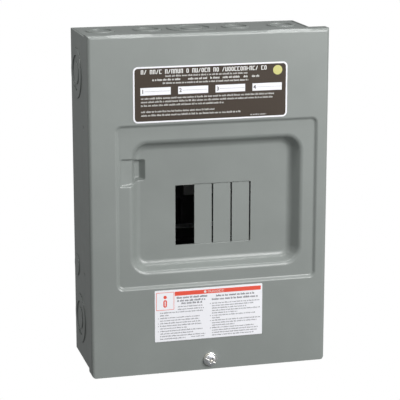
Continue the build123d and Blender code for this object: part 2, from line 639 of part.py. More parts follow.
def breaker_rail():
    """Steel rail below the stabs whose turned-out lip hooks the breakers' feet."""
    top, face = PAN_TOP_Y - RAIL_OUT, PAN_TOP_Y - RAIL_T
    outline = [
        (RAIL_Z, PAN_TOP_Y),
        (RAIL_Z, top),
        (RAIL_Z + RAIL_LIP, top),
        (RAIL_Z + RAIL_LIP, top + RAIL_T),
        (RAIL_Z + RAIL_T, top + RAIL_T),
        (RAIL_Z + RAIL_T, face),
        (RAIL_Z + RAIL_FOOT, face),
        (RAIL_Z + RAIL_FOOT, PAN_TOP_Y),
    ]
    side = make_face(Polyline(*[(0, y, z) for z, y in outline], close=True))
    length = ROW_RIGHT - ROW_LEFT + 2 * RAIL_PAST
    return Pos(ROW_LEFT - RAIL_PAST, 0, 0) * extrude(side, length, dir=(1, 0, 0))


def lug_bore_y(seat_y):
    """The depth of a lug's wire bore when the lug sits at seat_y."""
    return seat_y - LUG_D / 2 + LUG_BORE_BACK


def lug(x, seat_y, width):
    """Box lug with a wire bore along Z, a set screw bore along Y and a tang for its screw."""
    low, high = LUG_Z - LUG_H / 2, LUG_Z + LUG_H / 2
    bore_y = lug_bore_y(seat_y)
    body = block(x - width / 2, x + width / 2, seat_y - LUG_D, seat_y, low, high)
    body = fillet(edges_at(body, Axis.Y, seat_y - LUG_D).filter_by(Axis.Z), LUG_R)
    body -= rod_z(x, bore_y, low - 1, high + 1, LUG_BORE_R)
    body -= rod(x, LUG_Z, seat_y - LUG_D - 1, bore_y, SET_R + SCREW_PLAY)
    half = width / 2 - TANG_INSET
    return body + block(x - half, x + half, seat_y - TANG_T, seat_y, low - TANG_LEN, low)


def set_screw(x, seat_y):
    """Hex-socket set screw, backed out so that the wire bore is clear."""
    tip = lug_bore_y(seat_y) - LUG_BORE_R - SET_CLEAR
    screw = rod(x, LUG_Z, tip - SET_LEN, tip, SET_R)
    screw = chamfer(edges_at(screw, Axis.Y, tip), SET_BEVEL)
    socket = wall(tip - SET_LEN, x, LUG_Z) * extrude(RegularPolygon(SOCKET_R, 6), SOCKET_DEPTH)
    return screw - socket


def pan_head(x, z, seat_y, size, length):
    """Slotted pan-head screw whose head sits on seat_y, pointing into the box."""
    head_r, shank_r = size
    height = head_r * HEAD_HEIGHT
    head = rod(x, z, seat_y - height, seat_y, head_r)
    head = fillet(edges_at(head, Axis.Y, seat_y - height), height * HEAD_CROWN)
    head -= block(x - head_r, x + head_r, seat_y - height - 1, seat_y - height / 2,
                  z - HEAD_SLOT_W / 2, z + HEAD_SLOT_W / 2)
    return head + rod(x, z, seat_y - HEAD_ROOT, seat_y + length, shank_r)


def lug_mounting_screws():
    """The head of one screw on each lug's tang."""
    z = LUG_Z - LUG_H / 2 - TANG_LEN / 2
    spots = ((LUG_A_X, BAR_FACE_Y), (LUG_B_X, BAR_FACE_Y), (NEUTRAL_X, NEUTRAL_LUG_Y))
    return [pan_head(x, z, seat - TANG_T, TANG_SCREW, 0.0) for x, seat in spots]


def terminal_positions(start, count):
    """Evenly spaced terminal centres along a bar."""
    return [start + TERMINAL_PITCH * (n + 0.5) for n in range(count)]


def neutral_terminals():
    """Heights of the neutral bar's terminals."""
    return terminal_positions(NEUTRAL_Z0 + NEUTRAL_MARGIN, TERMINALS)


def ground_terminals():
    """Positions of the ground bar's terminals."""
    start = (GROUND_X0 + GROUND_X1 - GROUND_TERMINALS * TERMINAL_PITCH) / 2
    return terminal_positions(start, GROUND_TERMINALS)


def neutral_bar():
    """Aluminium bar with a row of wire holes across it and a thinner end under the lug."""
    half = NEUTRAL_W / 2
    x0, x1 = NEUTRAL_X - half, NEUTRAL_X + half
    bar = block(x0, x1, NEUTRAL_FACE_Y, NEUTRAL_BACK_Y, NEUTRAL_Z0, NEUTRAL_Z1)
    bar += block(x0, x1, NEUTRAL_LUG_Y, NEUTRAL_BACK_Y, NEUTRAL_Z1 - 1, LUG_Z + LUG_H / 2)
    middle = NEUTRAL_BACK_Y - NEUTRAL_D / 2
    for z in neutral_terminals():
        bar -= rod_x(middle + WIRE_BACK, z, x0 - 1, x1 + 1, WIRE_R)
        bar -= rod(NEUTRAL_X, z, NEUTRAL_FACE_Y - 1, middle, BINDING_HOLE_R)
    return bar


def neutral_terminal_screws():
    """One binding screw above each wire hole."""
    return [
        pan_head(NEUTRAL_X, z, NEUTRAL_FACE_Y, BINDING_SCREW, BINDING_LEN)
        for z in neutral_terminals()
    ]


def neutral_insulators():
    """Moulded stand-offs between the pan and the neutral bar."""
    half = STANDOFF / 2
    stands = []
    for z in (NEUTRAL_Z0 + STANDOFF_IN, NEUTRAL_Z1 - NEUTRAL_MARGIN, LUG_Z):
        stand = block(NEUTRAL_X - half, NEUTRAL_X + half, NEUTRAL_BACK_Y, PAN_TOP_Y,
                      z - STANDOFF_H / 2, z + STANDOFF_H / 2)
        stands.append(fillet(stand.edges().filter_by(Axis.Y), STANDOFF_R))
    return stands


def bonding_strap():
    """Stepped strap from the neutral bar's lower end down to the pan."""
    x0, x1 = NEUTRAL_X - STRAP_W / 2, NEUTRAL_X + STRAP_W / 2
    front_y = NEUTRAL_BACK_Y - NEUTRAL_D / 2
    step_z = NEUTRAL_Z0 - STRAP_LEG
    front = block(x0, x1, front_y, front_y + STRAP_T, step_z, NEUTRAL_Z0)
    web = block(x0, x1, front_y, PAN_TOP_Y, step_z - STRAP_T, step_z)
    foot = block(x0, x1, PAN_TOP_Y - STRAP_T, PAN_TOP_Y, BOND_Z - STRAP_LEG, step_z)
    hole = rod(NEUTRAL_X, BOND_Z, PAN_TOP_Y - 2 * STRAP_T, PAN_TOP_Y + 1, PAD_HOLE_R + STRAP_PLAY)
    return front + web + foot - hole


def ground_bar():
    """Aluminium bar lying across the bottom of the box, screwed to two pads."""
    low, high = GROUND_Z - NEUTRAL_W / 2, GROUND_Z + NEUTRAL_W / 2
    middle = PAD_FACE_Y - NEUTRAL_D / 2
    bar = block(GROUND_X0, GROUND_X1, GROUND_FACE_Y, PAD_FACE_Y, low, high)
    for x in ground_terminals():
        bar -= rod_z(x, middle + WIRE_BACK, low - 1, high + 1, WIRE_R)
        bar -= rod(x, GROUND_Z, GROUND_FACE_Y - 1, middle, BINDING_HOLE_R)
    for x, z in pad_spots()[PAN_PADS:]:
        bar -= rod(x, z, GROUND_FACE_Y - 1, 0, PAD_HOLE_R + GROUND_HOLE_PLAY)
    return bar


def ground_terminal_screws():
    """One binding screw above each wire hole of the ground bar."""
    return [
        pan_head(x, GROUND_Z, GROUND_FACE_Y, BINDING_SCREW, BINDING_LEN)
        for x in ground_terminals()
    ]


def interior_mounting_screws():
    """Hold the pan's feet to the box's pads."""
    seat = PAD_FACE_Y - PAN_T
    return [pan_head(x, z, seat, PAD_SCREW, PAN_SCREW_LEN) for x, z in pad_spots()[:PAN_PADS]]


def ground_mounting_screws():
    """Hold the ground bar to its two pads."""
    spots = pad_spots()[PAN_PADS:]
    return [pan_head(x, z, GROUND_FACE_Y, PAD_SCREW, GROUND_SCREW_LEN) for x, z in spots]


def bonding_screw():
    """Green screw through the strap into the pan."""
    return pan_head(NEUTRAL_X, BOND_Z, PAN_TOP_Y - STRAP_T, BOND_SCREW, BOND_SCREW_LEN)


def wiring_label():
    """Paper label on the inside of the right wall."""
    x = BOX_W / 2 - SHEET
    return block(x - LABEL_T, x, *WIRING_LABEL)


# ---- write every node ---------------------------------------------------------------------
def main():
    os.makedirs("parts", exist_ok=True)
    save("box_wrapper", box_wrapper())
    save("box_top_end", box_end(1))
    save("box_bottom_end", box_end(-1))
    save("knockouts_left", *knockout_group(side_knockout_planes(-1), KO_STEP))
    save("knockouts_right", *knockout_group(side_knockout_planes(1), KO_STEP))
    save("knockouts_top", *knockout_group(end_knockout_planes(1), KO_STEP))
    save("knockouts_bottom", *knockout_group(end_knockout_planes(-1), -KO_STEP))
    save("knockouts_back", *knockout_group(back_knockout_planes(), -KO_STEP))

    save("interior_pan", interior_pan())
    save("interior_mounting_screws", *interior_mounting_screws())
    save("bus_base", bus_base())
    save("bus_bar_a", bus_bar_a())
    save("bus_bar_b", bus_bar_b())
    save("breaker_rail", breaker_rail())
    save("main_lug_a", lug(LUG_A_X, BAR_FACE_Y, LUG_W))
    save("main_lug_b", lug(LUG_B_X, BAR_FACE_Y, LUG_W))
    save("neutral_lug", lug(NEUTRAL_X, NEUTRAL_LUG_Y, NEUTRAL_LUG_W))
    save("lug_mounting_screws", *lug_mounting_screws())
    save("main_lug_set_screw_a", set_screw(LUG_A_X, BAR_FACE_Y))
    save("main_lug_set_screw_b", set_screw(LUG_B_X, BAR_FACE_Y))
    save("neutral_lug_set_screw", set_screw(NEUTRAL_X, NEUTRAL_LUG_Y))
    save("neutral_bar", neutral_bar())
    save("neutral_terminal_screws", *neutral_terminal_screws())
    save("neutral_insulators", *neutral_insulators())
    save("bonding_strap", bonding_strap())
    save("bonding_screw", bonding_screw())
    save("ground_bar", ground_bar())
    save("ground_terminal_screws", *ground_terminal_screws())
    save("ground_mounting_screws", *ground_mounting_screws())
    save("wiring_label", wiring_label())

    save("cover", cover())
    save("directory_label", label(DIRECTORY, FRONT_Y))
    save("safety_label", label(SAFETY, FRONT_Y))
    for space in range(2, SPACES + 1):
        save(f"twist_out_{space}", twist_out(space))
    save("cover_screw_washer", cover_screw_washer())
    save("cover_screw", cover_screw())


main()
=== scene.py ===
# Residential load center: finishes, printed labels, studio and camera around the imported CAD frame.
# Everything is in metres in the part's own frame: wall at y = 0, cover facing -Y, +Z up.

import json
import math
import random

import bmesh
import bpy
from mathutils import Matrix, Vector

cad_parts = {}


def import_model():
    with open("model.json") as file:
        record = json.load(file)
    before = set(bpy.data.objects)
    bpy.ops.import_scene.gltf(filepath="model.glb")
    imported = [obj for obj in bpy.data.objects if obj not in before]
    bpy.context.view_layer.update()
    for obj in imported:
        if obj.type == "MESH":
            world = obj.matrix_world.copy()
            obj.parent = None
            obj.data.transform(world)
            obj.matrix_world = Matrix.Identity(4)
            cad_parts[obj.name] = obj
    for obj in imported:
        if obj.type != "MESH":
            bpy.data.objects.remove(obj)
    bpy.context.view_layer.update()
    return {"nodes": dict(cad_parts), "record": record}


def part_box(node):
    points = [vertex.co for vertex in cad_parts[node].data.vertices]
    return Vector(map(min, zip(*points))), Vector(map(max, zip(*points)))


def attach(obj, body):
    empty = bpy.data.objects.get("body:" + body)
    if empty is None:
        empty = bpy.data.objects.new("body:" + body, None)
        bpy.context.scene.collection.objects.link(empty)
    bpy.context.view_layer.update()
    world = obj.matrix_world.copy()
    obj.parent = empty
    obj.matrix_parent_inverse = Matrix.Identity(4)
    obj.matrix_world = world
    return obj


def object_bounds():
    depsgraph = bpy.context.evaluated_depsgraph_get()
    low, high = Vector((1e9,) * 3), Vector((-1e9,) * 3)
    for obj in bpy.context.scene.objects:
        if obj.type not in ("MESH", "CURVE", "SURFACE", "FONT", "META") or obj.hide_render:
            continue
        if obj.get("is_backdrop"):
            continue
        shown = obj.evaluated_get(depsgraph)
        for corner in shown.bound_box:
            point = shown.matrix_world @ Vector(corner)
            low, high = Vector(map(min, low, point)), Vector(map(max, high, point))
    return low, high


MM = 0.001

# ---- node helpers ------------------------------------------------------------------------

NOISE_LOW, NOISE_HIGH = 0.3, 0.7      # noise seldom leaves this range
MIX_A, MIX_B, MIX_OUT = 6, 7, 2       # the colour sockets of the mix node


def shade_of(colour, factor):
    return tuple(c * factor for c in colour)


class Shader:
    """A Principled material whose uniform values sit on the shader's own sockets."""

    def __init__(self, name, **sockets):
        self.material = bpy.data.materials.new(name)
        self.material.use_nodes = True
        self.tree = self.material.node_tree
        self.tree.nodes.clear()
        out = self.add("ShaderNodeOutputMaterial")
        self.bsdf = self.add("ShaderNodeBsdfPrincipled")
        self.join(self.bsdf.outputs["BSDF"], out.inputs["Surface"])
        for socket, value in sockets.items():
            self.bsdf.inputs[socket.replace("_", " ")].default_value = value
        self.place = self.add("ShaderNodeTexCoord").outputs["Object"]

    def add(self, kind, **settings):
        node = self.tree.nodes.new(kind)
        for key, value in settings.items():
            setattr(node, key, value)
        return node

    def join(self, a, b):
        self.tree.links.new(a, b)

    def stretched(self, scale):
        """The part's own coordinates, scaled differently along each axis."""
        node = self.add("ShaderNodeMapping")
        self.join(self.place, node.inputs["Vector"])
        node.inputs["Scale"].default_value = scale
        return node.outputs["Vector"]

    def noise(self, scale, detail=2.0, roughness=0.5, vector=None):
        node = self.add("ShaderNodeTexNoise")
        self.join(vector or self.place, node.inputs["Vector"])
        node.inputs["Scale"].default_value = scale
        node.inputs["Detail"].default_value = detail
        node.inputs["Roughness"].default_value = roughness
        return node.outputs["Fac"]

    def cells(self, scale, output):
        node = self.add("ShaderNodeTexVoronoi", feature="F1")
        self.join(self.place, node.inputs["Vector"])
        node.inputs["Scale"].default_value = scale
        return node.outputs[output]

    def spread(self, fac, low=NOISE_LOW, high=NOISE_HIGH, to_low=0.0, to_high=1.0):
        """Maps the range low..high onto to_low..to_high."""
        node = self.add("ShaderNodeMapRange")
        self.join(fac, node.inputs["Value"])
        for socket, value in (("From Min", low), ("From Max", high),
                              ("To Min", to_low), ("To Max", to_high)):
            node.inputs[socket].default_value = value
        return node.outputs["Result"]

    def mix(self, fac, a, b):
        node = self.add("ShaderNodeMix", data_type="RGBA")
        self.join(fac, node.inputs["Factor"])
        for socket, value in ((node.inputs[MIX_A], a), (node.inputs[MIX_B], b)):
            if isinstance(value, bpy.types.NodeSocket):
                self.join(value, socket)
            else:
                socket.default_value = (*value, 1.0)
        return node.outputs[MIX_OUT]

    def shades(self, fac, colour, dark, light):
        """The colour, wandering between a darker and a lighter shade of itself."""
        return self.mix(fac, shade_of(colour, dark), shade_of(colour, light))

    def colour(self, socket):
        self.join(socket, self.bsdf.inputs["Base Color"])

    def roughness(self, fac, low, high):
        self.join(self.spread(fac, to_low=low, to_high=high), self.bsdf.inputs["Roughness"])

    def bump(self, *layers):
        """Stacks bump layers of (height, strength, distance in metres)."""
        normal = None
        for height, strength, distance in layers:
            node = self.add("ShaderNodeBump")
            node.inputs["Strength"].default_value = strength
            node.inputs["Distance"].default_value = distance
            self.join(height, node.inputs["Height"])
            if normal:
                self.join(normal, node.inputs["Normal"])
            normal = node.outputs["Normal"]
        self.join(normal, self.bsdf.inputs["Normal"])


# ---- materials ---------------------------------------------------------------------------


def enamel(name, colour):
    """Baked enamel on sheet steel: orange peel, faint cloudiness, a few dust nibs."""
    s = Shader(name, Metallic=0.0, IOR=1.5, Coat_Weight=0.5, Coat_Roughness=0.2)
    cloud = s.noise(scale=14.0, detail=4.0, roughness=0.6)
    base = s.shades(s.spread(cloud, low=0.35, high=0.65), colour, dark=0.965, light=1.035)
    dots = s.cells(scale=420.0, output="Distance")
    nibs = s.spread(dots, low=0.0, high=0.12, to_low=1.0, to_high=0.0)
    rare = s.spread(s.noise(scale=95.0, detail=1.0), low=0.66, high=0.72)
    speck = s.add("ShaderNodeMath", operation="MULTIPLY")
    s.join(nibs, speck.inputs[0])
    s.join(rare, speck.inputs[1])
    s.colour(s.mix(speck.outputs[0], base, shade_of(colour, 0.8)))
    s.roughness(s.noise(scale=60.0, detail=5.0, roughness=0.65), low=0.36, high=0.47)
    peel = s.noise(scale=520.0, detail=2.0, roughness=0.4)
    sag = s.noise(scale=45.0)
    s.bump((sag, 0.10, 0.0006), (peel, 0.16, 0.00012))
    return s.material


def zinc(name, colour):
    """Bright zinc plate: fine machining grain and a faint blue-yellow passivation tint."""
    s = Shader(name, Metallic=1.0)
    red, green, blue = colour
    cool = (red * 0.95, green * 0.98, blue * 1.04)
    warm = (red * 1.03, green, blue * 0.92)
    tint = s.noise(scale=210.0, detail=3.0, roughness=0.6)
    s.colour(s.mix(s.spread(tint, low=0.35, high=0.65), cool, warm))
    s.roughness(s.noise(scale=900.0, detail=3.0, roughness=0.6), low=0.30, high=0.44)
    s.bump((s.noise(scale=2600.0), 0.12, 0.00003), (s.noise(scale=400.0), 0.10, 0.00005))
    return s.material


def galvanised(name, colour):
    """Hot-dip galvanised sheet: crystal spangle with its own shine per crystal."""
    s = Shader(name, Metallic=1.0)
    split = s.add("ShaderNodeSeparateColor")
    s.join(s.cells(scale=150.0, output="Color"), split.inputs["Color"])
    value = split.outputs["Red"]
    s.colour(s.shades(value, colour, dark=0.82, light=1.1))
    shine = s.spread(split.outputs["Green"], low=0.0, high=1.0, to_low=0.34, to_high=0.52)
    s.join(shine, s.bsdf.inputs["Roughness"])
    s.bump((value, 0.06, 0.00006), (s.noise(scale=1400.0, detail=3.0), 0.12, 0.00004))
    return s.material


def drawn_metal(name, colour, low, high):
    """Extruded or rolled bar with its grain along the part's height."""
    s = Shader(name, Metallic=1.0)
    grain = s.stretched((60.0, 60.0, 1.0))
    lines = s.noise(scale=26.0, detail=4.0, roughness=0.6, vector=grain)
    cloud = s.noise(scale=80.0, detail=3.0)
    s.colour(s.shades(s.spread(cloud), colour, dark=0.9, light=1.06))
    s.roughness(lines, low, high)
    s.bump((lines, 0.2, 0.00004), (s.noise(scale=1800.0), 0.08, 0.00003))
    return s.material


def moulding(name, colour):
    """Matt thermoset moulding with a fine spark texture."""
    s = Shader(name, Metallic=0.0, IOR=1.5)
    flow = s.noise(scale=30.0, detail=4.0, roughness=0.6)
    s.colour(s.shades(s.spread(flow), colour, dark=0.8, light=1.35))
    s.roughness(s.noise(scale=150.0, detail=4.0), low=0.46, high=0.62)
    spark = s.noise(scale=1500.0, detail=3.0, roughness=0.7)
    s.bump((spark, 0.3, 0.00005), (s.noise(scale=120.0), 0.1, 0.0003))
    return s.material


def printed(name, colour, low=0.32, high=0.42, mottling=0.03, shine=0.5):
    """Screen-printed vinyl or its ink: slight mottle, slight waviness from the steel below."""
    s = Shader(name, Metallic=0.0, IOR=1.48, Specular_IOR_Level=shine,
               Coat_Weight=0.1 * shine, Coat_Roughness=0.2)
    mottle = s.noise(scale=700.0, detail=3.0, roughness=0.6)
    patch = s.noise(scale=40.0)
    fine = s.shades(s.spread(mottle), colour, dark=1 - mottling, light=1 + mottling)
    s.colour(s.mix(s.spread(patch, low=0.2, high=0.8), fine, shade_of(colour, 1 - mottling)))
    s.roughness(s.noise(scale=90.0, detail=3.0), low, high)
    s.bump((s.noise(scale=55.0), 0.12, 0.0004), (mottle, 0.08, 0.00002))
    return s.material


def paper(name, colour):
    """Uncoated paper with its fibres lying upright."""
    s = Shader(name, Metallic=0.0, IOR=1.45)
    upright = s.stretched((1.0, 1.0, 0.4))
    fibre = s.noise(scale=1100.0, detail=4.0, roughness=0.7, vector=upright)
    s.colour(s.shades(s.spread(fibre), colour, dark=0.93, light=1.04))
    s.roughness(s.noise(scale=200.0, detail=3.0), low=0.66, high=0.82)
    s.bump((fibre, 0.2, 0.00004))
    return s.material


# Linear colours.
ENAMEL_GREY = (0.254, 0.274, 0.262)
# Black enamel for the breaker rail is painted shade: it darkens the box's inside as seen through the
# open space.
ENAMEL_BLACK_PAINTED_SHADE = (0.012, 0.012, 0.013)
ZINC = (0.96, 0.96, 0.97)
SPANGLE = (0.60, 0.62, 0.64)
ALUMINIUM = (0.74, 0.75, 0.76)
TIN = (0.70, 0.70, 0.69)
MOULDING_BLACK = (0.022, 0.022, 0.024)
SCREW_GREEN = (0.06, 0.42, 0.14)
VINYL_WHITE = (0.93, 0.93, 0.97)
PAPER = (0.72, 0.70, 0.62)
INK_BROWN = (0.056, 0.041, 0.030)
INK_WHITE = (0.80, 0.80, 0.78)
INK_SIGNAL = (0.84, 0.10, 0.06)
INK_DARK = (0.05, 0.05, 0.055)
INK_GREY = (0.16, 0.16, 0.18)
INK_YELLOW = (0.62, 0.60, 0.22)

# The finishes go by the record's material slots.
MATERIALS = {
    "grey_enamel": enamel("grey_enamel_finish", ENAMEL_GREY),
    "zinc_plated_steel": zinc("zinc_finish", ZINC),
    "galvanised_steel": galvanised("galvanised_finish", SPANGLE),
    "lug_aluminium": drawn_metal("lug_finish", ALUMINIUM, low=0.30, high=0.44),
    "tinned_bus": drawn_metal("bus_finish", TIN, low=0.26, high=0.40),
    "black_moulding": moulding("moulding_finish", MOULDING_BLACK),
    # The rail's black enamel is painted shade, making the inside behind the open space read dark.
    "black_enamel": enamel("painted_shade_black_enamel", ENAMEL_BLACK_PAINTED_SHADE),
    "green_screw": zinc("green_screw_finish", SCREW_GREEN),
    "directory_label": printed("vinyl_white", VINYL_WHITE),
    "safety_label": printed("vinyl_white_b", VINYL_WHITE),
    "paper_label": paper("paper_finish", PAPER),
}
INKS = {
    "brown": printed("ink_brown", INK_BROWN, low=0.46, high=0.56, mottling=0.07, shine=0.3),
    "white": printed("ink_white", INK_WHITE),
    "signal": printed("ink_signal", INK_SIGNAL, low=0.34, high=0.44, mottling=0.04),
    "dark": printed("ink_dark", INK_DARK, low=0.4, high=0.5, mottling=0.1),
    "grey": printed("ink_grey", INK_GREY, low=0.4, high=0.5, mottling=0.1),
    "yellow": printed("ink_yellow", INK_YELLOW, low=0.34, high=0.44, mottling=0.04),
}


# ---- printed layers ----------------------------------------------------------------------

INK_T = 0.04 * MM             # printed layers stand this far off the label
INK_ROOT = 0.01 * MM          # and reach this far into it
CORNER_STEPS = 8              # points in each rounded corner
DISC_STEPS = 40               # points round a disc
LEAST_CORNER = 0.05           # the tightest inner corner of an outline, in mm
NUMERAL_WEIGHT = 0.02         # thickens a numeral's strokes, times its size

# Headings, where one step is a letter and its gap.
LETTER_WIDE = 0.8             # letter width, in steps
WORD_GAP = 0.9                # between words, in steps
STROKE = 0.2                  # upright strokes, in letter heights
LEVEL_STROKE = 0.8            # level strokes, in upright strokes
ROUND_OUT, ROUND_IN = 0.4, 0.15       # a round letter's corners, in letter widths
GLYPHS = ("ring", "cup", "arch", "hook", "ring", "arm", "hook", "arch", "slash")

# Small print, in letter heights.
SMALL_WORD = (2, 9)           # fewest and most letters
SMALL_WIDTH = (0.30, 0.62)    # narrowest and widest letter
SMALL_INK = 0.62              # how much of a letter's width is inked
SMALL_GAP = 0.10              # between letters
SMALL_SPACE = 0.55            # between words
TALL, TALL_SHARE = 1.35, 0.25         # tall letters, and how many there are
LINE_SLACK = 0.5              # no word starts this near the line's end


def rounded(x0, x1, z0, z1, radius):
    """A rectangle's outline with rounded corners, anticlockwise."""
    points = []
    for cx, cz, start in ((x1 - radius, z1 - radius, 0), (x0 + radius, z1 - radius, 90),
                          (x0 + radius, z0 + radius, 180), (x1 - radius, z0 + radius, 270)):
        for k in range(CORNER_STEPS + 1):
            a = math.radians(start + 90 * k / CORNER_STEPS)
            points.append((cx + radius * math.cos(a), cz + radius * math.sin(a)))
    return points


class Print:
    """Closed flat shapes laid on one label and gathered into one piece.

    Shapes are given in millimetres from the label's centre, across and up.
    """

    def __init__(self, origin, across, out, lift=0.0):
        up = Vector((0, 0, 1))
        self.to_frame = Matrix.Translation(origin) @ Matrix(
            [[across[i], up[i], out[i]] for i in range(3)]).to_4x4()
        self.back = lift - INK_ROOT
        self.front = lift + INK_T
        self.mesh = bmesh.new()

    def _ring_of(self, points, depth):
        return [self.mesh.verts.new((x * MM, z * MM, depth)) for x, z in points]

    def _walls(self, front, back):
        for k in range(len(front)):
            self.mesh.faces.new((front[k - 1], back[k - 1], back[k], front[k]))

    def shape(self, points):
        front = self._ring_of(points, self.front)
        back = self._ring_of(points, self.back)
        self.mesh.faces.new(front)
        self.mesh.faces.new(back[::-1])
        self._walls(front, back)

    def bar(self, x0, x1, z0, z1):
        self.shape([(x0, z0), (x1, z0), (x1, z1), (x0, z1)])

    def ring(self, outer, inner):
        """A closed band between two outlines with equally many points."""
        out_front, out_back, in_front, in_back = [
            self._ring_of(points, depth)
            for points in (outer, inner) for depth in (self.front, self.back)]
        for k in range(len(outer)):
            self.mesh.faces.new((out_front[k - 1], out_front[k], in_front[k], in_front[k - 1]))
            self.mesh.faces.new((out_back[k], out_back[k - 1], in_back[k - 1], in_back[k]))
        self._walls(out_front, out_back)
        self._walls(in_front[::-1], in_back[::-1])

    def frame_of(self, x0, x1, z0, z1, stroke, radius):
        """A rectangular outline with rounded corners."""
        inner = max(radius - stroke, LEAST_CORNER)
        self.ring(rounded(x0, x1, z0, z1, radius),
                  rounded(x0 + stroke, x1 - stroke, z0 + stroke, z1 - stroke, inner))

    def disc(self, x, z, radius, steps=DISC_STEPS):
        angles = [math.tau * k / steps for k in range(steps)]
        self.shape([(x + radius * math.cos(a), z + radius * math.sin(a)) for a in angles])

    def numeral(self, text, x, z, size):
        """A plain number, from Blender's own font."""
        curve = bpy.data.curves.new("numeral", "FONT")
        curve.body, curve.size = text, size * MM
        curve.align_x, curve.align_y = "CENTER", "CENTER"
        curve.offset = size * NUMERAL_WEIGHT * MM
        curve.extrude = (self.front - self.back) / 2
        holder = bpy.data.objects.new("numeral", curve)
        bpy.context.scene.collection.objects.link(holder)
        bpy.context.view_layer.update()
        settled = holder.evaluated_get(bpy.context.evaluated_depsgraph_get())
        flat = bpy.data.meshes.new_from_object(settled)
        flat.transform(Matrix.Translation((x * MM, z * MM, (self.front + self.back) / 2)))
        self.mesh.from_mesh(flat)
        bpy.data.objects.remove(holder)

    def glyph(self, x, z, width, height, stroke, kind):
        """One meaningless letter-sized mark."""
        x1, z1 = x + width, z + height
        level = stroke * LEVEL_STROKE
        a, b, low, high = x + stroke, x1 - stroke, z + level, z1 - level
        if kind == "ring":
            self.ring(rounded(x, x1, z, z1, width * ROUND_OUT),
                      rounded(a, b, low, high, width * ROUND_IN))
        elif kind == "cup":
            self.shape([(x, z), (x1, z), (x1, z1), (b, z1), (b, low), (a, low), (a, z1), (x, z1)])
        elif kind == "arch":
            self.shape([(x, z), (a, z), (a, high), (b, high), (b, z), (x1, z), (x1, z1), (x, z1)])
        elif kind == "hook":
            self.shape([(x, z), (x1, z), (x1, low), (a, low),
                        (a, high), (x1, high), (x1, z1), (x, z1)])
        elif kind == "arm":
            mid = (z + z1 - level) / 2
            top = mid + level
            self.shape([(x, z), (a, z), (a, mid), (x1, mid), (x1, top), (a, top), (a, z1), (x, z1)])
        else:
            self.shape([(x, z), (a, z), (x1, z1), (b, z1)])

    def heading(self, x0, x1, z, height, words, draw):
        """Placeholder words in capitals between x0 and x1: words holds the letters in each."""
        step = (x1 - x0) / (sum(words) + len(words) * WORD_GAP)
        x = x0
        for letters in words:
            for _ in range(letters):
                kind = draw.choice(GLYPHS)
                self.glyph(x, z - height / 2, step * LETTER_WIDE, height, height * STROKE, kind)
                x += step
            x += step * WORD_GAP

    def line(self, x0, x1, z, height, draw, ink=SMALL_INK):
        """Placeholder small print: word-length runs of letter-sized bars."""
        x = x0
        while x < x1 - height * LINE_SLACK:
            for _ in range(draw.randint(*SMALL_WORD)):
                width = height * draw.uniform(*SMALL_WIDTH)
                if x + width > x1:
                    break
                tall = height * (TALL if draw.random() < TALL_SHARE else 1.0)
                self.bar(x, x + width * ink, z - height / 2, z - height / 2 + tall)
                x += width + height * SMALL_GAP
            x += height * SMALL_SPACE

    def make(self, name, body, material):
        """Closes the print and hands it to the frame as one piece."""
        for vert in self.mesh.verts:
            vert.co = self.to_frame @ vert.co
        bmesh.ops.recalc_face_normals(self.mesh, faces=self.mesh.faces)
        data = bpy.data.meshes.new(name)
        self.mesh.to_mesh(data)
        self.mesh.free()
        data.materials.append(material)
        piece = bpy.data.objects.new(name, data)
        bpy.context.scene.collection.objects.link(piece)
        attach(piece, body)


def front_of(node):
    """A cover label's printed face: its centre in metres and its size in millimetres."""
    low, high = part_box(node)
    return Vector(((low.x + high.x) / 2, low.y, (low.z + high.z) / 2)), (high - low) / MM


ACROSS, OUT = Vector((1, 0, 0)), Vector((0, -1, 0))

# The directory label, in millimetres from its centre.
DIRECTORY_SEED = 11
BORDER = 1.5                  # unprinted edge
FIELD_CORNER = 3.2
TEXT_LEFT = -68.4
DIRECTORY_WORDS = (2, 4, 6, 1, 6, 2, 12, 2)
LIST_RUNS = ((-57.3, -30.0), (-22.5, -3.5), (-0.8, 8.6), (11.5, 29.6), (32.2, 37.8), (40.5, 48.4))
NOTES = ((-3.7, 64.3), (-7.0, 61.6), (-10.4, 13.2), (-16.4, 3.5), (-19.9, 30.2))   # up, right end
SPACES = 4                    # write-in spaces
SPACE_PITCH = 36.65
SPACE_WIDE, SPACE_HIGH = 29.4, 7.2
SPACE_LEFT, SPACE_TOP = -68.9, 6.8
RULE_INSET = (4.0, 0.9)       # the writing rule's ends, from the space's left and right
RULE_HALF = 0.1               # half its thickness
NUMERAL_IN = 2.2              # the numeral's middle, from the space's left
NUMERAL_SIZE = 5.2


